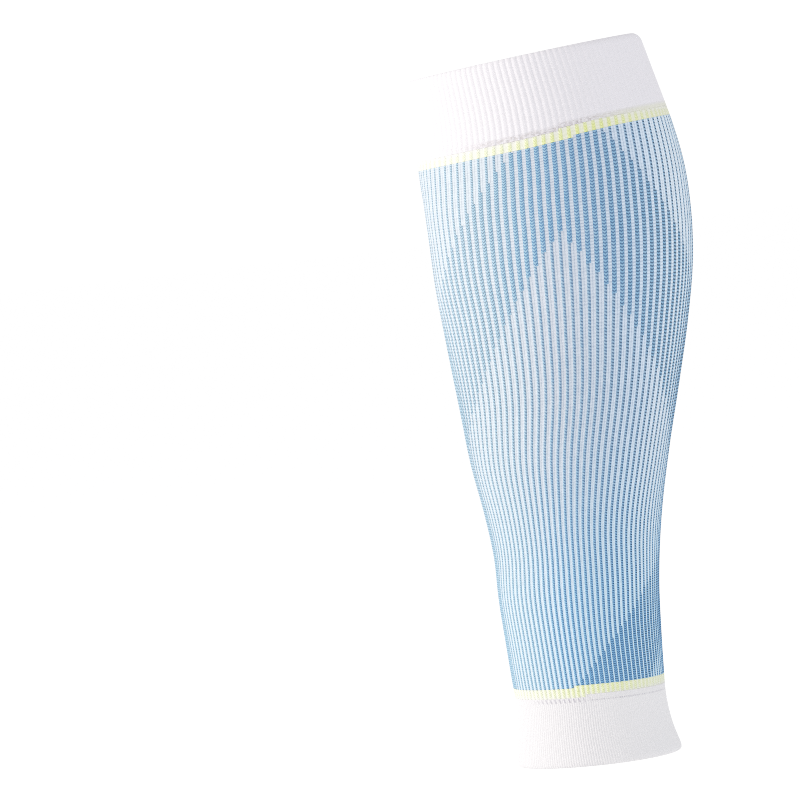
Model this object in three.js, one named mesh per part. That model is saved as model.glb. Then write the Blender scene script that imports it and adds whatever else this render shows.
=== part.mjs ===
// A knitted compression sleeve for the lower leg, as it stands when it is worn.
// +Z runs up the leg, -X is the shin and +X is the calf.
// The origin lies on the leg's axis, at the fullest part of the calf.
import * as THREE from 'three';

// Driving dimensions, in millimetres
const CALF_HEIGHT = 255; // ankle rim to the fullest part of the calf
const BODY_RIBS = 88;
const CUFF_RIBS = 132;
const BODY_WALL = 1.6;
const CUFF_WALL = 2.0; // a welt is two layers of finer knit
const BODY_RELIEF = 0.5; // groove to ridge
const CUFF_RELIEF = 0.25;
const FOLD_CROWN = 0.8; // how far a folded rim bulges past its edges
const PIECE_GAP = 0.3;
const CALF_FULLNESS = 0.06; // how far the widest place is shifted towards the calf
const RIBS_PER_INNER_SIDE = 2;

// Sections of the leg from the ankle rim up, over the tops of the ribs.
// height: of the section's middle over the ankle rim; rise: of its calf side over its shin side;
// shin, calf: reach in front of and behind the leg's axis; side: half of the width.
const SECTIONS = [
  { at: 'ankle rim', height: 0.4, rise: 0.6, shin: 39.4, calf: 39.1, side: 34.6 },
  { at: 'ankle cuff, middle', height: 14, rise: 0, shin: 37.9, calf: 35.5, side: 32.4 },
  { at: 'ankle cuff head', height: 30.6, rise: 0, shin: 36.9, calf: 34.1, side: 30.8 },
  { at: 'body foot', height: 35.1, rise: 0, shin: 37.3, calf: 34.3, side: 30.8 },
  { at: 'ankle', height: 56, rise: 0, shin: 38.6, calf: 35.2, side: 31.4 },
  { at: 'above the ankle', height: 80, rise: 0, shin: 39.8, calf: 36.8, side: 32.3 },
  { at: 'hollow of the shin', height: 98, rise: 0, shin: 39.8, calf: 39.1, side: 33.4 },
  { at: 'below the calf', height: 118, rise: 0, shin: 41.9, calf: 42.7, side: 35.8 },
  { at: 'lower calf', height: 142, rise: 0, shin: 45.7, calf: 48.3, side: 40.3 },
  { at: 'middle of the calf', height: 172, rise: 0, shin: 48.5, calf: 56.2, side: 45.8 },
  { at: 'upper calf', height: 202, rise: 0.4, shin: 51.2, calf: 63.7, side: 50.4 },
  { at: 'calf shoulder', height: 228, rise: 1.0, shin: 53.3, calf: 68.7, side: 53.6 },
  { at: 'fullest part of the calf', height: 253, rise: 2.6, shin: 54.0, calf: 70.4, side: 54.9 },
  { at: 'above the calf', height: 271, rise: 5.6, shin: 54.6, calf: 69.5, side: 54.9 },
  { at: 'body head', height: 290.8, rise: 11.4, shin: 55.3, calf: 65.4, side: 53.9 },
  { at: 'knee cuff foot', height: 295.1, rise: 11.4, shin: 55.3, calf: 64.3, side: 53.6 },
  { at: 'knee cuff, middle', height: 313, rise: 11.4, shin: 55.0, calf: 59.6, side: 51.8 },
  { at: 'knee rim', height: 329.2, rise: 11.4, shin: 55.4, calf: 55.4, side: 50.2 },
];

// The zones of the tube, from the ankle up; fold names the end that is a folded rim
const PIECES = [
  { name: 'ankle_cuff', from: 'ankle rim', to: 'ankle cuff head', fold: 'foot',
    ribs: CUFF_RIBS, relief: CUFF_RELIEF, wall: CUFF_WALL, colour: 0xf3f3f5 },
  { name: 'lower_accent_band', from: 'ankle cuff head', to: 'body foot',
    ribs: BODY_RIBS, relief: BODY_RELIEF, wall: BODY_WALL, colour: 0xd8e23a },
  { name: 'calf_body', from: 'body foot', to: 'body head',
    ribs: BODY_RIBS, relief: BODY_RELIEF, wall: BODY_WALL, colour: 0x8fb6d6 },
  { name: 'upper_accent_band', from: 'body head', to: 'knee cuff foot',
    ribs: BODY_RIBS, relief: BODY_RELIEF, wall: BODY_WALL, colour: 0xd8e23a },
  { name: 'knee_cuff', from: 'knee cuff foot', to: 'knee rim', fold: 'head',
    ribs: CUFF_RIBS, relief: CUFF_RELIEF, wall: CUFF_WALL, colour: 0xf3f3f5 },
];

// One closed line round the leg, from the shin past the -Y side to the calf and back past +Y
class LegSection extends THREE.Curve {
  constructor({ height, rise, shin, calf, side }) {
    super();
    const front = new THREE.Vector3(-shin, 0, height - CALF_HEIGHT - rise / 2);
    const back = new THREE.Vector3(calf, 0, height - CALF_HEIGHT + rise / 2);
    this.middle = front.clone().lerp(back, 0.5);
    this.depth = back.clone().sub(front).divideScalar(2);
    this.width = new THREE.Vector3(0, side, 0);
    this.up = this.depth.clone().cross(this.width).normalize();
    this.arcLengthDivisions = 720;
  }

  getPoint(t, target = new THREE.Vector3()) {
    const turn = 2 * Math.PI * t;
    const forward = Math.cos(turn);
    const sideways = Math.sin(turn) * (1 - CALF_FULLNESS * forward);
    target.copy(this.middle).addScaledVector(this.depth, -forward);
    return target.addScaledVector(this.width, -sideways);
  }

  // Evenly spaced points round the leg, each moved inwards by inset(i), and all of them up by lift
  ring(count, inset, lift = 0) {
    return Array.from({ length: count }, (_, i) => {
      const outward = this.getTangentAt(i / count).cross(this.up);
      const point = this.getPointAt(i / count).addScaledVector(outward, -inset(i));
      return point.addScaledVector(this.up, lift);
    });
  }
}

// A row of the table moved a little way towards another row, to leave a gap
function trimmed(row, next, distance) {
  const share = distance / Math.abs(next.height - row.height);
  const mixed = {};
  for (const key of ['height', 'rise', 'shin', 'calf', 'side']) {
    mixed[key] = THREE.MathUtils.lerp(row[key], next[key], share);
  }
  return mixed;
}

// The sections of one piece, with half of the gap left at each end that meets another piece
function sectionsOf({ from, to, fold }) {
  const first = SECTIONS.findIndex((row) => row.at === from);
  const last = SECTIONS.findIndex((row) => row.at === to);
  const rows = SECTIONS.slice(first, last + 1);
  const ends = [rows[0], rows[1], rows.at(-2), rows.at(-1)];
  if (fold !== 'foot') rows[0] = trimmed(ends[0], ends[1], PIECE_GAP / 2);
  if (fold !== 'head') rows[rows.length - 1] = trimmed(ends[3], ends[2], PIECE_GAP / 2);
  return rows.map((row) => new LegSection(row));
}

// Triangles between two rings of the geometry, which may have different numbers of points
function zip(index, a, b) {
  let i = 0;
  let j = 0;
  while (i < a.count || j < b.count) {
    const onA = a.start + (i % a.count);
    const onB = b.start + (j % b.count);
    if ((i + 1) * b.count <= (j + 1) * a.count) {
      index.push(onA, a.start + ((i + 1) % a.count), onB);
      i += 1;
    } else {
      index.push(onA, b.start + ((j + 1) % b.count), onB);
      j += 1;
    }
  }
}

// A closed wall whose skin runs up the outside, over the head rim, down the inside and under the foot
function wallThrough(rings) {
  const points = rings.flat();
  const spans = [];
  let start = 0;
  for (const ring of rings) {
    spans.push({ start, count: ring.length });
    start += ring.length;
  }
  const index = [];
  spans.forEach((span, k) => zip(index, span, spans[(k + 1) % spans.length]));
  return new THREE.BufferGeometry().setFromPoints(points).setIndex(index);
}

function knittedTube(piece) {
  const { ribs, relief, wall, fold } = piece;
  const sections = sectionsOf(piece);
  const innerSides = ribs / RIBS_PER_INNER_SIDE;
  const ribbed = (i) => (i % 2 ? relief : 0);
  const outside = sections.map((section) => section.ring(2 * ribs, ribbed));
  const inside = sections.map((section) => section.ring(innerSides, () => wall)).reverse();
  const rings = [...outside];
  if (fold === 'head') rings.push(sections.at(-1).ring(innerSides, () => wall / 2, FOLD_CROWN));
  rings.push(...inside);
  if (fold === 'foot') rings.push(sections[0].ring(innerSides, () => wall / 2, -FOLD_CROWN));
  return wallThrough(rings);
}

const sleeve = new THREE.Group();
for (const piece of PIECES) {
  const yarn = new THREE.MeshStandardMaterial({ color: piece.colour, roughness: 0.85, metalness: 0 });
  const mesh = new THREE.Mesh(knittedTube(piece), yarn);
  mesh.name = piece.name;
  sleeve.add(mesh);
}

export default sleeve;
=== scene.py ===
import math

import bpy
import numpy as np
from mathutils import Matrix, Vector


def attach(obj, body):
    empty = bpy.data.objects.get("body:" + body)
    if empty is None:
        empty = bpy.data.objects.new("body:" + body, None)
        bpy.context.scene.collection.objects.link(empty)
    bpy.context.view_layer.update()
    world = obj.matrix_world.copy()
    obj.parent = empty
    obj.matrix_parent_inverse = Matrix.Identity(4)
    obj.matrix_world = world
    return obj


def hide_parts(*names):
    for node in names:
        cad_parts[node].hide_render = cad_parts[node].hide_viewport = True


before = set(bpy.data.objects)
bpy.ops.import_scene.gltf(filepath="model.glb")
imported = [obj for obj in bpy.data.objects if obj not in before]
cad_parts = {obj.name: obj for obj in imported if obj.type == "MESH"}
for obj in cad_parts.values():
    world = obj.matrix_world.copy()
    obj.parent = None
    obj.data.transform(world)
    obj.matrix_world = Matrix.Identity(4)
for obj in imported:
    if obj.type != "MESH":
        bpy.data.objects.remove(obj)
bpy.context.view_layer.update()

# Ankle cuff
# A white welt of covered elastic, knitted double in fine one-by-one ribs. Its lower rim is the fold
# of the welt, and its head is knitted straight on into the lime courses above it.
MM = 0.001
CALF_HEIGHT = 255  # from the ankle rim up to the origin, in millimetres as all sizes here
CALF_FULLNESS = 0.06  # how far the leg's widest place is shifted towards the calf

# The leg that every piece is stretched over, up from the ankle rim. rise is how far the calf side of
# a section stands over its shin side; shin and calf reach from the leg's axis; side is half the width.
LEG = np.rec.fromrecords(
    [
        (0.4, 0.6, 39.4, 39.1, 34.6),
        (14, 0, 37.9, 35.5, 32.4),
        (30.6, 0, 36.9, 34.1, 30.8),
        (35.1, 0, 37.3, 34.3, 30.8),
        (56, 0, 38.6, 35.2, 31.4),
        (80, 0, 39.8, 36.8, 32.3),
        (98, 0, 39.8, 39.1, 33.4),
        (118, 0, 41.9, 42.7, 35.8),
        (142, 0, 45.7, 48.3, 40.3),
        (172, 0, 48.5, 56.2, 45.8),
        (202, 0.4, 51.2, 63.7, 50.4),
        (228, 1.0, 53.3, 68.7, 53.6),
        (253, 2.6, 54.0, 70.4, 54.9),
        (271, 5.6, 54.6, 69.5, 54.9),
        (290.8, 11.4, 55.3, 65.4, 53.9),
        (295.1, 11.4, 55.3, 64.3, 53.6),
        (313, 11.4, 55.0, 59.6, 51.8),
        (329.2, 11.4, 55.4, 55.4, 50.2),
    ],
    names="height,rise,shin,calf,side",
)


def through(at, known, values):
    """A smooth line through the known values, read at other places."""
    slope = np.gradient(values, known)
    i = np.clip(np.searchsorted(known, at) - 1, 0, len(known) - 2)
    step = known[i + 1] - known[i]
    t = (at - known[i]) / step
    start = values[i] * (1 + 2 * t) * (1 - t) ** 2 + slope[i] * step * t * (1 - t) ** 2
    end = values[i + 1] * t**2 * (3 - 2 * t) + slope[i + 1] * step * t**2 * (t - 1)
    return start + end


def on_leg(height, angle):
    """Points of the leg's skin. Angle 0 is the shin, and a quarter turn on is the -Y side."""
    shin, calf, side, rise = (
        through(height, LEG.height, LEG[column]) for column in ("shin", "calf", "side", "rise")
    )
    forward = np.cos(angle)
    sideways = np.sin(angle) * (1 - CALF_FULLNESS * forward)
    x = (calf - shin) / 2 - forward * (calf + shin) / 2
    z = height - CALF_HEIGHT - forward * rise / 2
    return np.stack(np.broadcast_arrays(x, -sideways * side, z), -1)


# The angles at which equal stitches lie round the leg, for heights 2 mm apart
GIRTH_HEIGHTS = np.arange(-4, 340, 2.0)
GIRTH_TURNS = np.linspace(0, 1, 721)
girth_angles = []
for skin in on_leg(GIRTH_HEIGHTS[:, None], 2 * math.pi * GIRTH_TURNS):
    run = np.concatenate([[0], np.cumsum(np.linalg.norm(np.diff(skin, axis=0), axis=1))])
    girth_angles.append(np.interp(GIRTH_TURNS, run / run[-1], 2 * math.pi * GIRTH_TURNS))
girth_angles = np.array(girth_angles)


def stitch_angle(height, turn):
    """The angle of the stitch that is this share of the way round the leg."""
    row = (height - GIRTH_HEIGHTS[0]) / (GIRTH_HEIGHTS[1] - GIRTH_HEIGHTS[0])
    column = (turn % 1) * (len(GIRTH_TURNS) - 1)
    i = np.clip(row.astype(int), 0, len(GIRTH_HEIGHTS) - 2)
    j = np.clip(column.astype(int), 0, len(GIRTH_TURNS) - 2)
    down, up = (
        girth_angles[k, j] + (girth_angles[k, j + 1] - girth_angles[k, j]) * (column - j)
        for k in (i, i + 1)
    )
    return down + (up - down) * (row - i)


# How the columns of stitches run up the leg, in ribs: the sleeve is pulled on with a slight twist, the
# columns crowd a little towards the middle of the -Y side, and bow at the shin and the calf.
WALES = np.rec.fromrecords(
    [
        (0, -1.6, 0.1, -0.1),
        (40, -1.7, 0.1, -0.1),
        (60, -1.92, 0.1, -0.05),
        (80, -1.94, -0.2, 0.0),
        (105, -2.03, 0.43, 0.45),
        (140, -1.31, 0.0, 0.2),
        (175, -0.5, 0.45, 0.15),
        (205, -0.5, 0.45, 0.15),
        (245, -0.45, 0.05, -0.2),
        (265, -0.2, 0.05, -0.25),
        (282, 0.33, 0.17, -0.15),
        (295, 0.8, 0.2, -0.1),
        (332, 0.8, 0.2, -0.1),
    ],
    names="height,twist,crowd,bow",
)
BODY_RIBS = 88
SIDE_RIB = 22  # the rib that faces -Y
CALF_RIB = 44
COLUMN_CENTRE = 0.24  # of the raised columns, in ribs


def wale_turn(rib, height):
    """How far round the leg a rib of the body lies at a height, as a share of a turn."""
    twist, crowd, bow = (
        through(height, WALES.height, WALES[column]) for column in ("twist", "crowd", "bow")
    )
    towards_calf = np.sin(2 * math.pi * (rib - COLUMN_CENTRE - SIDE_RIB) / BODY_RIBS)
    return (rib - COLUMN_CENTRE + twist - crowd * towards_calf + bow * towards_calf**2) / BODY_RIBS


def skin_at(rib, height):
    """The leg's skin under a rib of the body at a height."""
    return on_leg(height, stitch_angle(height, wale_turn(rib, height)))


NUDGE_RIBS = 0.1  # to either side of a place, and up and down from it, to find which way it faces
NUDGE_HEIGHT = 0.5
INSIDE_SHARE = 0.1  # of the picture that a finish is baked to, for the inside of a tube
INSIDE_FILL = 0.98  # of that share, so that it stays clear of the outside


def knit_tube(name, outside, rim, inside, ribs, per_rib, relief, courses, jog):
    """A closed wall of knit over the leg. outside, rim and inside are lists of heights and depths: up the
    outside, over one end, and back. relief(rib, height) is the depth of the outside below the tops of the
    ribs, courses(height) counts courses, and jog(rib, height) lifts the start of each round of knitting."""
    profile = list(outside) + list(rim) + list(inside)
    level, depth = np.array(profile).T
    rings, around = len(profile), ribs * per_rib
    rib = np.arange(around) / per_rib
    body_rib = rib * BODY_RIBS / ribs
    height = np.repeat(level[:, None], around, 1)
    height = height + jog(body_rib, height)
    skin = skin_at(body_rib, height)
    along = skin_at(body_rib + NUDGE_RIBS, height) - skin_at(body_rib - NUDGE_RIBS, height)
    rise = skin_at(body_rib, height + NUDGE_HEIGHT) - skin_at(body_rib, height - NUDGE_HEIGHT)
    out = np.cross(along, rise)
    out /= np.linalg.norm(out, axis=-1, keepdims=True)
    inset = depth[:, None] + relief(rib, height) * (1 - depth / depth.max())[:, None]
    points = (skin - out * inset[..., None]) * MM

    ring, step = np.meshgrid(np.arange(rings), np.arange(around), indexing="ij")
    here, above = ring * around, (ring + 1) % rings * around
    after = (step + 1) % around
    turned = -1 if level[len(outside) - 1] < level[0] else 1
    faces = np.stack([here + step, here + after, above + after, above + step][::turned], -1)
    mesh = bpy.data.meshes.new(name)
    mesh.from_pydata(points.reshape(-1, 3).tolist(), [], faces.reshape(-1, 4).tolist())

    def lay_map(map_name, columns, low, high):
        """Lays the faces flat in a map: columns to a unit across, and each ring from low to high."""
        across = np.stack([step, step + 1, step + 1, step][::turned], -1) / columns
        up = np.stack([low[ring], low[ring], high[ring], high[ring]][::turned], -1)
        mesh.uv_layers.new(name=map_name).data.foreach_set("uv", np.stack([across, up], -1).ravel())

    charted = courses(level)
    lay_map("knit", per_rib, charted, np.roll(charted, -1))
    outer_steps = len(outside) - 1
    place = np.arange(rings)
    outer_tall = (1 - INSIDE_SHARE) / outer_steps
    inner_tall = INSIDE_FILL * INSIDE_SHARE / (rings - outer_steps)
    on_outside = place < outer_steps
    low = np.where(on_outside, INSIDE_SHARE + place * outer_tall, (place - outer_steps) * inner_tall)
    lay_map("OFBake", around, low, low + np.where(on_outside, outer_tall, inner_tall))
    knit_map = mesh.uv_layers["knit"]
    mesh.uv_layers.active = knit_map
    knit_map.active_render = True

    mesh.polygons.foreach_set("use_smooth", np.ones(rings * around, bool))
    reverse = ring >= len(outside) + len(rim)
    mesh.polygons.foreach_set("material_index", reverse.ravel().astype(int))
    mesh.update()
    piece = bpy.data.objects.new(name, mesh)
    bpy.context.collection.objects.link(piece)
    return piece


class Yarn:
    """A value on its way through a material's nodes. Arithmetic on it adds the nodes."""

    def __init__(self, socket):
        self.socket = socket

    def node(self, kind, settings, values, output=0):
        """Adds a node of a kind, sets it up, gives its sockets values or links, and returns an output."""
        tree = self.socket.id_data
        made = tree.nodes.new(kind)
        for name, value in settings.items():
            setattr(made, name, value)
        for name, value in values.items():
            if isinstance(value, Yarn):
                tree.links.new(value.socket, made.inputs[name])
            else:
                made.inputs[name].default_value = value
        return Yarn(made.outputs[output])

    def math(self, operation, *values):
        return self.node("ShaderNodeMath", {"operation": operation}, dict(enumerate(values)))

    def __add__(self, other):
        return self.math("ADD", self, other)

    def __sub__(self, other):
        return self.math("SUBTRACT", self, other)

    def __rsub__(self, other):
        return self.math("SUBTRACT", other, self)

    def __mul__(self, other):
        return self.math("MULTIPLY", self, other)

    def __truediv__(self, other):
        return self.math("DIVIDE", self, other)

    def __pow__(self, other):
        return self.math("POWER", self, other)

    def __mod__(self, other):
        return self.math("FLOORED_MODULO", self, other)

    def __floordiv__(self, other):
        return self.math("FLOOR", self / other)

    def __lt__(self, other):
        return self.math("LESS_THAN", self, other)

    def __gt__(self, other):
        return self.math("GREATER_THAN", self, other)

    def __abs__(self):
        return self.math("ABSOLUTE", self)

    __radd__, __rmul__ = __add__, __mul__

    def smooth(self, start, end):
        """0 before start, 1 after end, and a soft step between. It falls if start is past end."""
        settings = {"interpolation_type": "SMOOTHSTEP"}
        return self.node("ShaderNodeMapRange", settings, {0: self, 1: start, 2: end})

    def between(self, first, second):
        """Mixes two colours, linked or in hex, with this as the share of the second."""
        first, second = (tone(colour) if isinstance(colour, str) else colour for colour in (first, second))
        return self.node("ShaderNodeMix", {"data_type": "RGBA"}, {0: self, 6: first, 7: second}, 2)

    def chance(self, row, salt=0.0):
        """A number from 0 to 1 that is the same all over one stitch."""
        place = self.node("ShaderNodeCombineXYZ", {}, {0: self, 1: row, 2: salt})
        return self.node("ShaderNodeTexWhiteNoise", {"noise_dimensions": "3D"}, {"Vector": place})

    def cloud(self, row, salt):
        """A slow drift between 0 and 1 over ribs and courses."""
        place = self.node("ShaderNodeCombineXYZ", {}, {0: self, 1: row, 2: salt})
        return self.node("ShaderNodeTexNoise", {}, {"Vector": place, "Scale": 1.0, "Detail": 1.0})


def tone(code):
    """A shader colour from a hex one, by the sRGB curve."""
    parts = [int(code[i : i + 2], 16) / 255 for i in (0, 2, 4)]
    return [c / 12.92 if c < 0.04045 else ((c + 0.055) / 1.055) ** 2.4 for c in parts] + [1]


YARN_FINISH = {"Roughness": 0.85, "Specular IOR Level": 0.1, "Sheen Weight": 0.04, "Sheen Roughness": 0.45}


def yarn_material(name):
    """A matt, slightly fuzzy material, with its rib and course numbers."""
    material = bpy.data.materials.new(name)
    material.use_nodes = True
    surface = material.node_tree.nodes["Principled BSDF"]
    for socket, value in YARN_FINISH.items():
        surface.inputs[socket].default_value = value
    chart = Yarn(surface.inputs["Roughness"]).node("ShaderNodeUVMap", {"uv_map": "knit"}, {})
    rib = chart.node("ShaderNodeSeparateXYZ", {}, {0: chart}, "X")
    course = chart.node("ShaderNodeSeparateXYZ", {}, {0: chart}, "Y")
    return material, rib, course


def dress(material, colour, height, depth):
    """Gives the material its colour and the relief of its stitches, depth in millimetres."""
    surface = material.node_tree.nodes["Principled BSDF"]
    links = material.node_tree.links
    bump = height.node("ShaderNodeBump", {}, {"Strength": 1.0, "Distance": depth * MM, "Height": height})
    links.new(colour.socket, surface.inputs["Base Color"])
    links.new(bump.socket, surface.inputs["Normal"])


def finish(piece, outside, inside):
    """Gives a tube the materials of its outside and of its inside."""
    piece.data.materials.append(outside)
    piece.data.materials.append(inside)


def from_middle(rib, width):
    """How far, in ribs, a place is from the middle of its rib, which starts on a whole number."""
    return abs((rib - width / 2 + 0.5) % 1 - 0.5)


GROOVE_SOFTNESS = 0.08  # how far the side of a rib reaches past its edge


def ridge(rib, width):
    """1 along the middle of each rib and 0 along the grooves."""
    apart = from_middle(rib, width) / (width / 2 + GROOVE_SOFTNESS)
    return 0.5 + 0.5 * np.cos(math.pi * np.clip(apart, 0, 1))


FINE_RIB = 0.77  # the share of a fine rib that stands out beside its groove
FLATTENED = 0.4  # what is left of the fine ribs at the calf, where the welt is drawn smooth
RELIEF_RETURNS = (13, 22)  # where they are whole again, in ribs of the body from the calf


def cuff_relief(ribs, depth):
    """The grooves between a cuff's fine ribs."""

    def relief(rib, height):
        from_calf = abs(rib * BODY_RIBS / ribs - CALF_RIB)
        return np.interp(from_calf, RELIEF_RETURNS, (FLATTENED, 1)) * depth * (1 - ridge(rib, FINE_RIB))

    return relief


CUFF_COURSE = 0.82  # how tall a course of a cuff is


def cuff_courses(height):
    return height / CUFF_COURSE


# The white of a cuff and its painted shade. WELT_GREY is painted shade in the grooves of the ribs, between
# the strands of the stitches, over the hem and on the shin side. It also draws random grain, the ticks,
# which are painted shadows at the lower ends of the body's ribs, and the dashes. Places are soft steps:
# across a rib, along the courses past the hem's edge, or round the leg, in ribs of the body from the calf.
WELT_GREY = "A9A6AE"
# HEM_GREY: specks of painted shade in the shallow recess of the hem, next to the lime
HEM_GREY = "A29A99"
HEM_YELLOW = "CDCEA6"
FINE_MIDDLE = FINE_RIB / 2
FINE_SLANT = 0.8  # courses that the leg of a stitch climbs
FINE_GROOVE = (0.28, 0.6)
FINE_STARTS = (-0.4, 0.4)
WIDE_MIDDLE = 0.25  # of a rib of the body that runs out in the hem
WIDE_GROOVE = (0.2, 0.32)
GROOVES_RETURN = (12.0, 22.0)
SHIN_GREYS = (16.0, 23.0)
# The ticks are painted shadows at the lower ends of the body's ribs, where the fine ribs start
TICKS_START, TICKS_END = (19.0, 24.0), (35.0, 28.0)
TICK_COURSE, TICK_COLUMN, TICK_LEAN = -1.6, 0.45, 0.12
TICK_TALL, TICK_BROAD = (1.5, 0.9), (0.26, 0.1)
DASH_COURSE = 0.2
DASH_TALL, DASH_BROAD = (0.6, 0.25), (0.42, 0.22)
GRAIN_RIBS, GRAIN_COURSES, GRAIN_SALT = 0.3, 0.6, 3.0  # of the hem's specks of grey
GREY_STARTS, GREY_ENDS, GREY_UP = (4.0, 20.0), (36.0, 27.0), (0.6, -1.4)
YELLOW_ROUND, YELLOW_UP = (19.0, 9.0), (0.8, -2.4)
# Shares of grey, which are painted shade except the random grain, and heights beside a fine rib's height of
# 1
FAINTEST_DASH = 0.4
STRAND_SHADE, GRAIN_SHADE = 0.09, 0.06
HEM_SHADE, HEM_GROOVE_SHADE = 0.08, 0.06
STRAND_HEIGHT, HEM_RIB_HEIGHT = 0.25, 0.6


def cuff_knit(
    name, white, ribs, hem_course, upwards,
    groove_shade, shin_shade, speckle, depth, ticks, dashes, hem_grey, hem_yellow,
):
    """White fine ribs, with a plain hem at one end where the wide ribs of the body run out. The grooves, the
    gaps between the strands, the hem and the shin side get painted shade. Slanted ticks of painted shadow
    mark the hem on the shin side, and a row of dashes its edge on the calf side."""
    material, rib, course = yarn_material(name)
    number = rib // 1
    column = rib % 1
    leg = 1 - abs(column / FINE_MIDDLE - 1)
    leg = leg.math("MAXIMUM", leg, 0)
    phase = course + leg * FINE_SLANT
    strand = 1 - abs((phase % 1) * 2 - 1) ** 2
    groove = abs(column - FINE_MIDDLE).smooth(*FINE_GROOVE)
    past_hem = (course - hem_course) * upwards
    fine = past_hem.smooth(*FINE_STARTS)
    hem = 1 - fine
    body_rib = rib * (BODY_RIBS / ribs)
    wide = body_rib % 1
    wide_groove = abs(wide - WIDE_MIDDLE).smooth(*WIDE_GROOVE)
    from_calf = abs(body_rib - CALF_RIB)
    ribbed = FLATTENED + from_calf.smooth(*GROOVES_RETURN) * (1 - FLATTENED)

    by_shin = from_calf.smooth(*TICKS_START)
    tick = abs(wide - TICK_COLUMN - past_hem * TICK_LEAN).smooth(*TICK_BROAD)
    tick = tick * abs(past_hem - TICK_COURSE).smooth(*TICK_TALL)
    tick = tick * by_shin * from_calf.smooth(*TICKS_END)
    dash = abs(past_hem - DASH_COURSE).smooth(*DASH_TALL) * abs(column - FINE_MIDDLE).smooth(*DASH_BROAD)
    dash = dash * (FAINTEST_DASH + number.chance(0.0) * (1 - FAINTEST_DASH)) * (1 - by_shin)
    grain = number.chance(phase // 1)
    # Painted shade in the grooves, over the hem, between the strands, in the ticks and on the shin side; the
    # grain is random
    shade = groove * fine * ribbed * groove_shade
    shade = shade + (wide_groove * HEM_GROOVE_SHADE + HEM_SHADE) * hem
    shade = shade + ((1 - strand) * STRAND_SHADE + grain * GRAIN_SHADE) * speckle
    shade = shade + tick * ticks + dash * dashes + from_calf.smooth(*SHIN_GREYS) * shin_shade
    white = shade.between(white, WELT_GREY)

    # Specks of painted shade in the recess of the hem, and a yellow tint beside the lime
    grey = (rib // GRAIN_RIBS).chance(course // GRAIN_COURSES, GRAIN_SALT) * past_hem.smooth(*GREY_UP)
    grey = grey * from_calf.smooth(*GREY_STARTS) * from_calf.smooth(*GREY_ENDS)
    white = (grey * hem_grey).between(white, HEM_GREY)
    yellow = past_hem.smooth(*YELLOW_UP) * from_calf.smooth(*YELLOW_ROUND)
    white = (yellow * hem_yellow).between(white, HEM_YELLOW)
    standing = (1 - groove) * fine * ribbed + (1 - wide_groove) * hem * HEM_RIB_HEIGHT
    dress(material, white, strand * STRAND_HEIGHT * speckle + standing, depth)
    return material


ANKLE_RIM = -0.4
ANKLE_HEAD = 32.2
BODY_FOOT = 36.7
BODY_HEAD = 290.6
KNEE_FOOT = 294.9

# Each round of knitting starts a little over the end of the last, so the lime bands step, at one rib along
# their lower edge and at another along their upper edge. A share of the step comes at once and the rest
# over the ribs beside it, and the band sinks back again between two shares of a turn from there.
# The ribs lie halfway between two columns of the meshes, so that the zones meet at the steps too.
LOWER_STEP = {
    "foot": ANKLE_HEAD, "head": BODY_FOOT, "tall": 1.1,
    "foot_rib": 22.75, "head_rib": 20.55, "at_once": 1.0, "sinks": (0, 0.28),
}
UPPER_STEP = {
    "foot": BODY_HEAD, "head": KNEE_FOOT, "tall": 2.4,
    "foot_rib": 24.65, "head_rib": 23.05, "at_once": 0.42, "sinks": (0.25, 0.75),
}
STEP_SPREAD = 10  # ribs that the rest of a step takes
STEP_FADE = 25  # over the band and under it


def soft_step(share):
    """0 to 1, level at both ends."""
    return share**2 * (3 - 2 * share)


def band_step(rib, height, foot, head, tall, foot_rib, head_rib, at_once, sinks):
    """How far a place is lifted by the step of one lime band."""
    turn = (rib - np.interp(height, (foot, head), (foot_rib, head_rib))) / BODY_RIBS % 1
    sunk = soft_step(np.clip((turn - sinks[0]) / (sinks[1] - sinks[0]), 0, 1))
    past = ((turn + 0.5) % 1 - 0.5) * BODY_RIBS
    eased = (1 - at_once) * (np.clip(0.5 + past / STEP_SPREAD, 0, 1) - (past >= 0))
    away = np.maximum(height - head, foot - height)
    return tall * (0.5 - sunk + eased) * np.clip(1 - away / STEP_FADE, 0, 1)


def round_jog(rib, height):
    """How far a place on the sleeve is lifted by the steps of the two lime bands."""
    return band_step(rib, height, **LOWER_STEP) + band_step(rib, height, **UPPER_STEP)


SEAM = 0.03  # half of the gap between two zones
FOLD_POINTS = 13
FOLD_LEAD, FOLD_LEAD_INSIDE = 0.8, 3.0  # from the last plain ring to the bend


def welt_wall(seam, rim, fold, wall, rows, inner_rows):
    """The outside, the rounded fold and the inside of a welt, from its seam to its rim and back."""
    up = 1 if rim > seam else -1
    outside = [(seam + up * SEAM, 0)]
    last = rim - up * (fold + FOLD_LEAD)
    outside += [(height, 0) for height in np.linspace(seam + 2 * up * SEAM, last, rows)]
    bend = np.linspace(0, math.pi, FOLD_POINTS)
    over = [(rim - up * fold * (1 - math.sin(a)), wall * (1 - math.cos(a)) / 2) for a in bend]
    first = rim - up * (fold + FOLD_LEAD_INSIDE)
    inside = [(height, wall) for height in np.linspace(first, seam + up * SEAM, inner_rows)]
    return outside, over, inside


ANKLE_RIBS = 186
ANKLE_RELIEF = 0.09
ANKLE_WALL = 2.4
ANKLE_FOLD = 2.6  # how tall the bend of the fold is
ANKLE_WHITE = "E2DFE1"
HEM = 2.6  # the plain courses between the lime and the fine ribs
ankle_cuff = knit_tube(
    "ankle_cuff_knit",
    *welt_wall(ANKLE_HEAD, ANKLE_RIM, ANKLE_FOLD, ANKLE_WALL, rows=22, inner_rows=6),
    ribs=ANKLE_RIBS, per_rib=6, relief=cuff_relief(ANKLE_RIBS, ANKLE_RELIEF),
    courses=cuff_courses, jog=round_jog,
)
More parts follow.
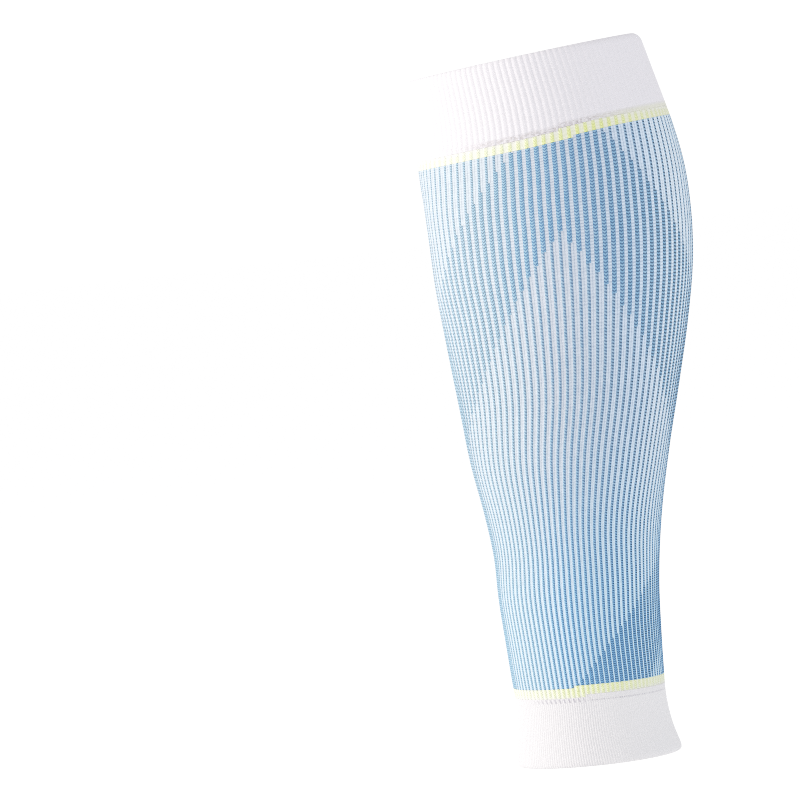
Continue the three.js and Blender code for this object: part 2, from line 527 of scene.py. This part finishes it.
# The ankle welt is darkened on the shin side by painted shade, and its ticks are painted shadows
ankle_knit = cuff_knit(
    "white_ankle_welt", ANKLE_WHITE, ANKLE_RIBS, hem_course=cuff_courses(ANKLE_HEAD - HEM), upwards=-1,
    groove_shade=0.34, shin_shade=0.17, speckle=0.15, depth=0.05,
    ticks=1.0, dashes=0.9, hem_grey=0.0, hem_yellow=0.0,
)
finish(ankle_cuff, ankle_knit, ankle_knit)
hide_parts("ankle_cuff")
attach(ankle_cuff, "root")

# Lower accent band
# A few courses of lime yarn between the cuff and the body. The ribs of the body already stand here,
# full lime on their tops, and the white yarn behind them shows through as pale yellow.
BODY_WALL = 1.5
BODY_RELIEF = 0.2
COLUMNS_PER_RIB = 10  # of the meshes of the bands and the body

# How tall a course of the body is, close at the ankle and drawn out over the calf
COURSES = np.rec.fromrecords(
    [
        (0, 1.0),
        (54, 1.05),
        (80, 1.1),
        (106, 1.17),
        (132, 1.28),
        (184, 1.44),
        (222, 1.52),
        (262, 1.39),
        (340, 1.1),
    ],
    names="height,tall",
)
COURSE_HEIGHTS = np.arange(0, 340, 1.0)
course_counts = np.cumsum(1 / through(COURSE_HEIGHTS, COURSES.height, COURSES.tall))


def body_courses(height):
    return np.interp(height, COURSE_HEIGHTS, course_counts)


def stitches(rib, course, width, wide, slant):
    """The stitch under each place of a raised column: how far across it, its row, and how far from its
    strand's middle line, 0, to the gap beside it, 1. Wide columns have two legs a stitch, others one."""
    across = (rib % 1) / width
    tent = across + (1 - abs(across * 2 - 1) - across) * wide
    phase = course + tent * slant
    return across, phase // 1, abs((phase % 1) * 2 - 1)


# The lime yarn and what shows between its columns. LIME_SHADE and PALE_SHADE are painted shade towards the
# gaps between strands and between rungs, and LIME_SHADE also darkens the lime over the shin half. On the
# shin side the pale ground gets a painted highlight, and the lime pales there as painted highlight too, as
# well as towards the calf. Places are soft steps, in ribs from the calf
LIME_SHADE = "CED890"
PALE_SHADE = "C4C4A4"
PALE_SHIN_HIGHLIGHT = "E3E5D4"
PALE_BY_CUFF = "DFDAE1"
LIME_SHADES = (17.0, 22.0)
PALE_LIGHTENS = (20.0, 32.0)
BRIGHTEST_LIME = 19.0
LIME_PALES = (0.0, 18.0)  # from the brightest place to either side
CUFF_REACH = (1.8, 0.0)  # courses
STITCH_SLANT = 0.65  # courses that a leg of a stitch climbs
STITCH_DEPTH = 0.25
STRAND_EDGE, RUNG_EDGE = (0.4, 1.0), (0.5, 1.0)  # from the middle of a strand to the gap beside it
COLUMN_EDGE = (0.66, 0.34)  # from the middle of a column, in its widths
# Shares of a second colour, and a height beside a lime column's height of 1
LIME_EDGE_SHARE, LIME_SPECKLE, LIME_SHADE_SHARE = 0.3, 0.3, 0.5
PALE_RUNG_SHARE, PALE_SHIN_SHARE, CUFF_SHARE = 0.3, 0.7, 0.35
LIME_PALE_SHARE = 0.75
PALE_RUNG_HEIGHT = 0.4


def accent_knit(name, width, lime, pale, cuff_course):
    """Lime columns with pale yellow between them and painted shade towards the gaps. The lime pales towards
    the cuff and the calf, and towards the shin, where that and the lighter ground are a painted highlight.
    """
    material, rib, course = yarn_material(name)
    row, off = stitches(rib, course, width, 1.0, STITCH_SLANT)[1:]
    rung = abs((course % 1) * 2 - 1)
    from_calf = abs(rib - CALF_RIB)
    near_cuff = abs(course - cuff_course).smooth(*CUFF_REACH)
    speckle = (rib // 1).chance(row) * LIME_SPECKLE
    # Painted shade towards the gaps between strands, random specks, and a darker lime over the shin half
    lime = (off.smooth(*STRAND_EDGE) * LIME_EDGE_SHARE + speckle).between(lime, LIME_SHADE)
    lime = (from_calf.smooth(*LIME_SHADES) * LIME_SHADE_SHARE).between(lime, LIME_SHADE)
    pale = (rung.smooth(*RUNG_EDGE) * PALE_RUNG_SHARE).between(pale, PALE_SHADE)
    # A painted highlight on the pale ground at the shin side
    pale = (from_calf.smooth(*PALE_LIGHTENS) * PALE_SHIN_SHARE).between(pale, PALE_SHIN_HIGHLIGHT)
    pale = (near_cuff * CUFF_SHARE).between(pale, PALE_BY_CUFF)
    # The lime pales to either side of its brightest place; on the shin side this is painted highlight
    paled = abs(from_calf - BRIGHTEST_LIME).smooth(*LIME_PALES) * LIME_PALE_SHARE
    lime = (paled + near_cuff * CUFF_SHARE).between(lime, pale)
    raised = from_middle(rib, width).smooth(*(width * edge for edge in COLUMN_EDGE))
    relief = raised * (1 - off**2) + (1 - raised) * (1 - rung) * PALE_RUNG_HEIGHT
    dress(material, raised.between(pale, lime), relief, STITCH_DEPTH)
    return material


BAND_COLUMN = 0.52  # the share of a rib that stands out


def band_relief(rib, height):
    return BODY_RELIEF * (1 - ridge(rib, BAND_COLUMN))


def plain_wall(foot, head, rows, inner_rows):
    """The outside and the inside of a zone of the body's knit, from foot to head and back, with no rim."""
    outside = [(foot + SEAM, 0)]
    outside += [(height, 0) for height in np.linspace(foot + 2 * SEAM, head - 2 * SEAM, rows)]
    outside += [(head - SEAM, 0)]
    inside = [(height, BODY_WALL) for height in np.linspace(head - SEAM, foot + SEAM, inner_rows)]
    return outside, [], inside


def accent_band(name, foot, head):
    return knit_tube(
        name, *plain_wall(foot, head, rows=6, inner_rows=2),
        ribs=BODY_RIBS, per_rib=COLUMNS_PER_RIB, relief=band_relief, courses=body_courses, jog=round_jog,
    )


LOWER_LIME, LOWER_PALE = "EEF8B4", "E4E8CC"
LOWER_LIME_WIDTH = 0.6  # the share of a rib that is lime
lower_band = accent_band("lower_accent_band_knit", ANKLE_HEAD, BODY_FOOT)
ankle_course = float(body_courses(ANKLE_HEAD))
lower_lime = accent_knit("lime_courses_at_ankle", LOWER_LIME_WIDTH, LOWER_LIME, LOWER_PALE, ankle_course)
finish(lower_band, lower_lime, lower_lime)
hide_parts("lower_accent_band")
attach(lower_band, "root")

# Calf body
# The long tube that does the squeezing: rounds of blue and white yarn over elastic. Blue columns stand
# out as ribs, one leg of each stitch wide, or two legs wide inside the chevrons; white lies between.

# The share of a rib that is blue, which is more at the ankle, where the white is hardly stretched
NARROW_AT_FOOT, NARROW_AT_HEAD = 0.5, 0.34
WIDE_AT_FOOT, WIDE_AT_HEAD = 0.73, 0.56
FOOT_COURSES = (float(body_courses(60)), float(body_courses(125)))
HEAD_COURSE = float(body_courses(BODY_HEAD))
CHEVRON_TOP = float(body_courses(312.8))  # where the upper edges would meet, at either side
CHEVRON_TOP_RIB = 21.65  # ribs from the calf
CHEVRON_FOOT = float(body_courses(248.8))
CHEVRON_FOOT_RIB = 22.2
CHEVRON_TOP_FALL = 3.45  # courses from one rib to the next
CHEVRON_FOOT_FALL = 3.5
HEEL_TOP = float(body_courses(96.8))
HEEL_FOOT = float(body_courses(56))
HEEL_TOP_FALL = 2.43
HEEL_FOOT_FALL = 2.7


def two_legs_wide(number, row):
    """1 where the blue column of this rib is two legs wide in this course, and otherwise 0."""
    from_calf = abs(number - CALF_RIB)
    under_top = row < CHEVRON_TOP - abs(from_calf - CHEVRON_TOP_RIB) * CHEVRON_TOP_FALL
    over_foot = row > CHEVRON_FOOT - abs(from_calf - CHEVRON_FOOT_RIB) * CHEVRON_FOOT_FALL
    under_heel_top = row < HEEL_TOP - from_calf * HEEL_TOP_FALL
    over_heel_foot = row > HEEL_FOOT - from_calf * HEEL_FOOT_FALL
    return under_top * over_foot + under_heel_top * over_heel_foot


def column_width(course, wide):
    """The share of a rib that is blue."""
    near_foot = (FOOT_COURSES[1] - course) / (FOOT_COURSES[1] - FOOT_COURSES[0])
    near_foot = (abs(near_foot) - abs(near_foot - 1) + 1) / 2
    under_head = (HEAD_COURSE - course) / (HEAD_COURSE - FOOT_COURSES[0])
    narrow = NARROW_AT_HEAD + under_head * (NARROW_AT_FOOT - NARROW_AT_HEAD)
    return narrow + (WIDE_AT_HEAD + near_foot * (WIDE_AT_FOOT - WIDE_AT_HEAD) - narrow) * wide


RELIEF_HEIGHTS, RELIEF_DEPTHS = (130, 180, 290), (0.32, 0.42, BODY_RELIEF)
SHIN_RELIEF_RIBS = 7  # from the shin, where the ribs of the lower leg stand taller
SHIN_RELIEF_HEIGHTS, SHIN_RELIEF_DEPTHS = (150, 220), (0.4, 0)


def body_relief(rib, height):
    """The grooves between the blue columns."""
    course = body_courses(height)
    wide = two_legs_wide(rib // 1, course)
    near_shin = np.clip(1 - (CALF_RIB - abs(rib - CALF_RIB)) / SHIN_RELIEF_RIBS, 0, 1)
    tall = np.interp(height, RELIEF_HEIGHTS, RELIEF_DEPTHS)
    tall = tall + near_shin * np.interp(height, SHIN_RELIEF_HEIGHTS, SHIN_RELIEF_DEPTHS)
    return tall * (1 - ridge(rib, column_width(course, wide)))


# The yarns of the body, from the darkest fleck to the lightest, and the painted shadow in the gaps between
# stitches, darker on the calf side and lighter on the shin side. The flank and shin-side blues are painted
# highlights and the far-leg blue is painted shade. The calf-side whites are a painted cool light, brightest
# near the calf as a painted highlight, and WHITE_SHADE is painted shade in the rungs and the crease.
NARROW_BLUES = ("7B98B3", "93A8BE")
WIDE_BLUES = ("759AB9", "8DAAC5")
LOW_BLUE = "74A0C8"
LIT_FLANK_BLUE = "A9C8E4"
SHIN_HIGHLIGHT_BLUE = "93B6D0"
SHADED_LEG_BLUE = "5F83A0"
NARROW_GAP = "42607E"
WIDE_GAP = "2E5A86"
CALF_GAP = "2A445C"
LOW_GAP = "1C466C"
CALF_EDGE_GAP = "1E2C38"
SHIN_GAP = "60666A"
WHITE, LOW_WHITE = "BEC7D6", "C3DDF5"
CALF_WHITE, LOW_CALF_WHITE = "C3DAF8", "CAE8FF"
CALF_EDGE_HIGHLIGHT = "E2F2FF"
SHIN_WHITE = "C2D5E0"
LOW_WHITE_SIDE = "8FBCE8"
WHITE_SHADE = "7F8596"
# Places round the leg are soft steps, in ribs from the calf, and the low ones are in courses
CALFWARD = (24.0, 8.0)
CALF_EDGE = (13.0, 5.0)
SHINWARD = (22.0, 33.0)
LOW_FADE = 40
LOW = (FOOT_COURSES[1] + LOW_FADE, FOOT_COURSES[0])
SLANT_LOST_AT_CALF = 0.35
RUNG_OFFSET = 0.4  # of the white stitches from the blue ones, in courses
DRIFT_RIBS, DRIFT_COURSES, DRIFT_SALT = 7.3, 0.09, 2.0
WHITE_SALT = 5.0
# Soft steps across a column, from the middle of a strand or of the white, and then shares of a second colour
FLANK, FAR_LEG, COLUMN_SIDE = (0.6, 0.0), (0.75, 1.0), (1.1, 0.92)
GAP_EDGE, WHITE_RUNG, CREASE, WHITE_SIDE = (0.25, 0.8), (0.1, 1.0), (0.13, 0.03), (0.25, 0.5)
FLANK_SHARE, SHIN_FLANK_SHARE, SHIN_BLUE_SHARE, FAR_LEG_SHARE = 0.2, 0.3, 0.6, 0.3
GAP_SHARE, CALF_GAP_SHARE, SHIN_GAP_SHARE = 0.6, 0.4, 0.15
WIDE_GAP_LOSS, LOW_GAP_LOSS, FLANK_GAP_LOSS = 0.25, 0.25, 0.6
RUNG_SHADE, WIDE_RUNG_SHADE, CREASE_SHADE, WHITE_SPECKLE = 0.22, 0.3, 0.35, 0.12
CALF_WHITE_SHARE, CALF_EDGE_SHARE, SHIN_WHITE_SHARE, WHITE_SIDE_SHARE = 0.8, 0.7, 0.6, 0.4
LOW_EDGE_LOSS, LOW_SHADE_LOSS = 0.4, 0.7
COLUMN_HEIGHT, RUNG_HEIGHT, CREASE_DROP = 1.4, 0.5, 0.3


def body_knit(name):
    """Blue columns of stitches, speckled as melange yarn is, on white, with painted shade and painted
    highlights.
    """
    material, rib, course = yarn_material(name)
    number = rib // 1
    wide = two_legs_wide(number, course // 1)
    narrow = 1 - wide
    width = column_width(course, wide)
    from_calf = abs(rib - CALF_RIB)
    calfward = from_calf.smooth(*CALFWARD)
    calf_edge = from_calf.smooth(*CALF_EDGE)
    shinward = from_calf.smooth(*SHINWARD)
    low = course.smooth(*LOW)
    slant = STITCH_SLANT - calfward * SLANT_LOST_AT_CALF
    across, row, off = stitches(rib, course, width, wide, slant)

    # Blue, with a painted highlight on the flank of a narrow column and over the shin side, and painted
    # shade on the far leg of a wide one
    leg = (across > 0.5) * wide
    fleck = (number + leg * 0.5).chance(row)
    drift = (number * DRIFT_RIBS).cloud(course * DRIFT_COURSES, DRIFT_SALT)
    light = ((fleck + drift) / 2).smooth(0.0, 1.0)
    blue = wide.between(light.between(*NARROW_BLUES), light.between(*WIDE_BLUES))
    blue = low.between(blue, LOW_BLUE)
    flank = across.smooth(*FLANK) * narrow
    blue = (flank * (FLANK_SHARE + shinward * SHIN_FLANK_SHARE)).between(blue, LIT_FLANK_BLUE)
    blue = (shinward * SHIN_BLUE_SHARE).between(blue, SHIN_HIGHLIGHT_BLUE)
    blue = (across.smooth(*FAR_LEG) * wide * FAR_LEG_SHARE).between(blue, SHADED_LEG_BLUE)

    # Painted shadow in the gaps between the blue stitches, darker on the calf side and lighter on the shin
    # side
    dark = calfward.between(wide.between(NARROW_GAP, WIDE_GAP), CALF_GAP)
    dark = low.between(dark, LOW_GAP)
    dark = calf_edge.between(dark, CALF_EDGE_GAP)
    dark = shinward.between(dark, SHIN_GAP)
    by_calf = calfward * (CALF_GAP_SHARE - wide * WIDE_GAP_LOSS)
    by_shin = shinward * (SHIN_GAP_SHARE - low * LOW_GAP_LOSS)
    gap = off.smooth(*GAP_EDGE) * (1 - flank * FLANK_GAP_LOSS) * (GAP_SHARE + by_calf + by_shin)
    blue = gap.between(blue, dark)

    # White, with painted shade in a crease along its middle and between the rungs of its stitches, random
    # specks, a painted cool light on the calf side with a painted highlight near the calf, a tint on the
    # shin side, and bluer sides low down
    rung = abs(((course + RUNG_OFFSET) % 1) * 2 - 1)
    aside = abs((rib % 1 - width) / (1 - width) - 0.5)
    crease = aside.smooth(*CREASE) * narrow
    shade = rung.smooth(*WHITE_RUNG) * (RUNG_SHADE + wide * WIDE_RUNG_SHADE) + crease * CREASE_SHADE
    shade = shade + number.chance(course // 1, WHITE_SALT) * WHITE_SPECKLE
    white = low.between(WHITE, LOW_WHITE)
    white = (calfward * CALF_WHITE_SHARE).between(white, low.between(CALF_WHITE, LOW_CALF_WHITE))
    white = (calf_edge * (1 - low * LOW_EDGE_LOSS) * CALF_EDGE_SHARE).between(white, CALF_EDGE_HIGHLIGHT)
    white = (shinward * SHIN_WHITE_SHARE).between(white, SHIN_WHITE)
    white = (aside.smooth(*WHITE_SIDE) * low * WHITE_SIDE_SHARE).between(white, LOW_WHITE_SIDE)
    white = (shade * (1 - low * LOW_SHADE_LOSS)).between(white, WHITE_SHADE)

    raised = across.smooth(*COLUMN_SIDE)
    ground = (1 - rung) * RUNG_HEIGHT - crease * CREASE_DROP
    relief = raised * (COLUMN_HEIGHT - off**2) + (1 - raised) * ground
    dress(material, raised.between(white, blue), relief, STITCH_DEPTH)
    return material


# From the painted shade between the loops to the middle of a loop
REVERSE_WHITES = ("C9CCD6", "ECEDF1")
REVERSE_BLUES = ("5F87B0", "9CC4E4")
REVERSE_DEPTH = 0.2
REVERSE_SLANT = 0.3
FLOAT_STARTS, FLOAT_ENDS = (0.5, 0.6), (1.0, 0.9)  # across a rib


def body_reverse(name):
    """The inside: loops of white behind the blue columns, and blue floats behind the white, with painted
    shade between the loops.
    """
    material, rib, course = yarn_material(name)
    column = rib % 1
    rung = 1 - abs(((course + column * REVERSE_SLANT) % 1) * 2 - 1) ** 2
    behind = column.smooth(*FLOAT_STARTS) * column.smooth(*FLOAT_ENDS)
    colour = behind.between(rung.between(*REVERSE_WHITES), rung.between(*REVERSE_BLUES))
    dress(material, colour, rung, REVERSE_DEPTH)
    return material


calf_body = knit_tube(
    "calf_body_knit", *plain_wall(BODY_FOOT, BODY_HEAD, rows=88, inner_rows=14),
    ribs=BODY_RIBS, per_rib=COLUMNS_PER_RIB, relief=body_relief, courses=body_courses, jog=round_jog,
)
finish(calf_body, body_knit("blue_and_white_ribs"), body_reverse("blue_and_white_reverse"))
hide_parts("calf_body")
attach(calf_body, "root")

# Upper accent band
# The same few lime courses again, between the head of the body and the knee cuff. The knit is stretched
# more here, so the lime columns are narrower and more of the pale ground shows.
UPPER_LIME, UPPER_PALE = "D6DF90", "DBDCC0"
UPPER_LIME_WIDTH = 0.45
upper_band = accent_band("upper_accent_band_knit", BODY_HEAD, KNEE_FOOT)
knee_course = float(body_courses(KNEE_FOOT))
upper_lime = accent_knit("lime_courses_at_knee", UPPER_LIME_WIDTH, UPPER_LIME, UPPER_PALE, knee_course)
finish(upper_band, upper_lime, upper_lime)
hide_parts("upper_accent_band")
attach(upper_band, "root")

# Knee cuff
# The wide white welt that keeps the sleeve up, fine-ribbed and double like the ankle's. Its upper rim
# is the fold, rounded by the elastic laid in it.
KNEE_RIBS = 117
KNEE_RELIEF = 0.22
KNEE_RIM = 331.8
KNEE_FOLD = 3.2
KNEE_WALL = 2.8
KNEE_WHITE = "DFDAE1"
RIM_DIP = 1.5  # of the rim at the back of the knee
RIM_DIP_RIBS = 5.0  # that it reaches to either side


def knee_jog(rib, height):
    """The step of the lime band, and the dip of the rim."""
    near = np.clip(1 - abs(rib - CALF_RIB) / RIM_DIP_RIBS, 0, 1)
    up = np.clip((height - KNEE_FOOT) / (KNEE_RIM - KNEE_FOOT), 0, 1)
    return round_jog(rib, height) - RIM_DIP * soft_step(near) * up**2


knee_cuff = knit_tube(
    "knee_cuff_knit",
    *welt_wall(KNEE_FOOT, KNEE_RIM, KNEE_FOLD, KNEE_WALL, rows=24, inner_rows=6),
    ribs=KNEE_RIBS, per_rib=7, relief=cuff_relief(KNEE_RIBS, KNEE_RELIEF),
    courses=cuff_courses, jog=knee_jog,
)
# The knee welt's hem gets specks of painted shade in its recess above the lime
knee_knit = cuff_knit(
    "white_knee_welt", KNEE_WHITE, KNEE_RIBS, hem_course=cuff_courses(KNEE_FOOT + HEM), upwards=1,
    groove_shade=0.1, shin_shade=0.0, speckle=1.0, depth=0.13,
    ticks=0.0, dashes=0.0, hem_grey=0.85, hem_yellow=0.55,
)
finish(knee_cuff, knee_knit, knee_knit)
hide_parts("knee_cuff")
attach(knee_cuff, "root")

# Floor
# A wide matt white studio floor, well below the sleeve, because a leg holds the sleeve up. It glows a
# little away from the sleeve, as a lit sweep of paper does, so that it runs into the white behind.
FLOOR_DROP = 120  # below the ankle rim
FLOOR_RADIUS = 30.0
FLOOR_SIDES = 96
PAPER_WHITE = (0.95, 0.95, 0.95, 1)
PAPER_ROUGHNESS = 0.9
PAPER_GLOW = 0.75
GLOW_STARTS = (0.3, 0.9)  # metres from the middle
bpy.ops.mesh.primitive_circle_add(
    vertices=FLOOR_SIDES, radius=FLOOR_RADIUS, fill_type="NGON",
    location=(0, 0, -(CALF_HEIGHT + FLOOR_DROP) * MM),
)
floor = bpy.context.object
floor.name = "studio_floor"
paper = bpy.data.materials.new("studio_paper")
paper.use_nodes = True
paper_surface = paper.node_tree.nodes["Principled BSDF"]
paper_surface.inputs["Base Color"].default_value = PAPER_WHITE
paper_surface.inputs["Roughness"].default_value = PAPER_ROUGHNESS
paper_surface.inputs["Emission Strength"].default_value = PAPER_GLOW
spot = Yarn(paper_surface.inputs["Roughness"]).node("ShaderNodeTexCoord", {}, {}, "Object")
away = spot.node("ShaderNodeVectorMath", {"operation": "LENGTH"}, {0: spot}, "Value")
shine = away.smooth(*GLOW_STARTS).between("000000", "FFFFFF")
paper.node_tree.links.new(shine.socket, paper_surface.inputs["Emission Color"])
floor.data.materials.append(paper)

# Light
# White surroundings give an even high-key light, brighter towards the horizon. A large warm softbox on
# the shin side shapes the leg, and a weak cool lamp fills the calf side.
SKY_LIGHT, HORIZON_LIGHT = 0.8, 0.84
HORIZON = (0.3, 0.1)  # how steeply up the horizon's light ends and starts
PIXEL_BLUR = 1.1
LAMP_SIZE = 1.2
SOFTBOX_PLACE, SOFTBOX_WATTS, SOFTBOX_COLOUR = (-2.4, -0.33, 0.6), 88, (1.0, 0.95, 0.91)
FILL_PLACE, FILL_WATTS, FILL_COLOUR = (2.1, -1.2, 0.2), 6, (0.35, 0.65, 1.0)
scene = bpy.context.scene
scene.view_settings.view_transform = "Standard"
scene.cycles.use_denoising = False
scene.cycles.filter_width = PIXEL_BLUR
scene.world = bpy.data.worlds.new("white_studio")
scene.world.use_nodes = True
sky = scene.world.node_tree.nodes["Background"]
sky.inputs["Color"].default_value = (1, 1, 1, 1)
towards = Yarn(sky.inputs["Strength"]).node("ShaderNodeTexCoord", {}, {}, "Generated")
upwards = towards.node("ShaderNodeSeparateXYZ", {}, {0: towards}, "Z")
glow = SKY_LIGHT + upwards.smooth(*HORIZON) * HORIZON_LIGHT
scene.world.node_tree.links.new(glow.socket, sky.inputs["Strength"])

# Highlights are held back as film does it: brightness in the scene, and in the picture
FILM_WHITE = 1.55
FILM = ((0.25, 0.25), (0.5, 0.5), (0.7, 0.655), (0.9, 0.76), (1.1, 0.85), (1.4, 0.96))
ALL_COLOURS = 3  # the curve for red, green and blue together
scene.view_settings.use_curve_mapping = True
film = scene.view_settings.curve_mapping
film.white_level = (FILM_WHITE, FILM_WHITE, FILM_WHITE)
for brightness, shown in FILM:
    film.curves[ALL_COLOURS].points.new(brightness / FILM_WHITE, shown)
film.update()


def soft_lamp(name, place, watts, colour):
    """A square soft lamp that faces the origin."""
    lamp = bpy.data.lights.new(name, "AREA")
    lamp.size = LAMP_SIZE
    lamp.energy = watts
    lamp.color = colour
    holder = bpy.data.objects.new(name, lamp)
    holder.location = place
    holder.rotation_euler = (-Vector(place)).to_track_quat("-Z", "Y").to_euler()
    bpy.context.collection.objects.link(holder)


soft_lamp("shin_side_softbox", SOFTBOX_PLACE, SOFTBOX_WATTS, SOFTBOX_COLOUR)
soft_lamp("calf_side_fill", FILL_PLACE, FILL_WATTS, FILL_COLOUR)

# Camera
# A long lens far back on the -Y side, a little above the fullest part of the calf. It is rolled, so that
# the sleeve leans in the picture, and aimed past the shin, so that the sleeve stands to one side.
LENS = 219.6
STANDS_BACK = 2.3  # metres, as the end of its sight
SIGHT_END = 100
EYE_HEIGHT = 277
AIM = Vector((-75.7, 0, 177.6 - CALF_HEIGHT)) * MM
LEAN = math.radians(6.31)
camera = bpy.data.objects.new("camera", bpy.data.cameras.new("camera"))
camera.data.lens = LENS
camera.data.clip_end = SIGHT_END
camera.location = (0, -STANDS_BACK, (EYE_HEIGHT - CALF_HEIGHT) * MM)
sight = (AIM - camera.location).to_track_quat("-Z", "Y").to_matrix()
camera.rotation_euler = (sight @ Matrix.Rotation(-LEAN, 3, "Z")).to_euler()
bpy.context.collection.objects.link(camera)
scene.camera = camera
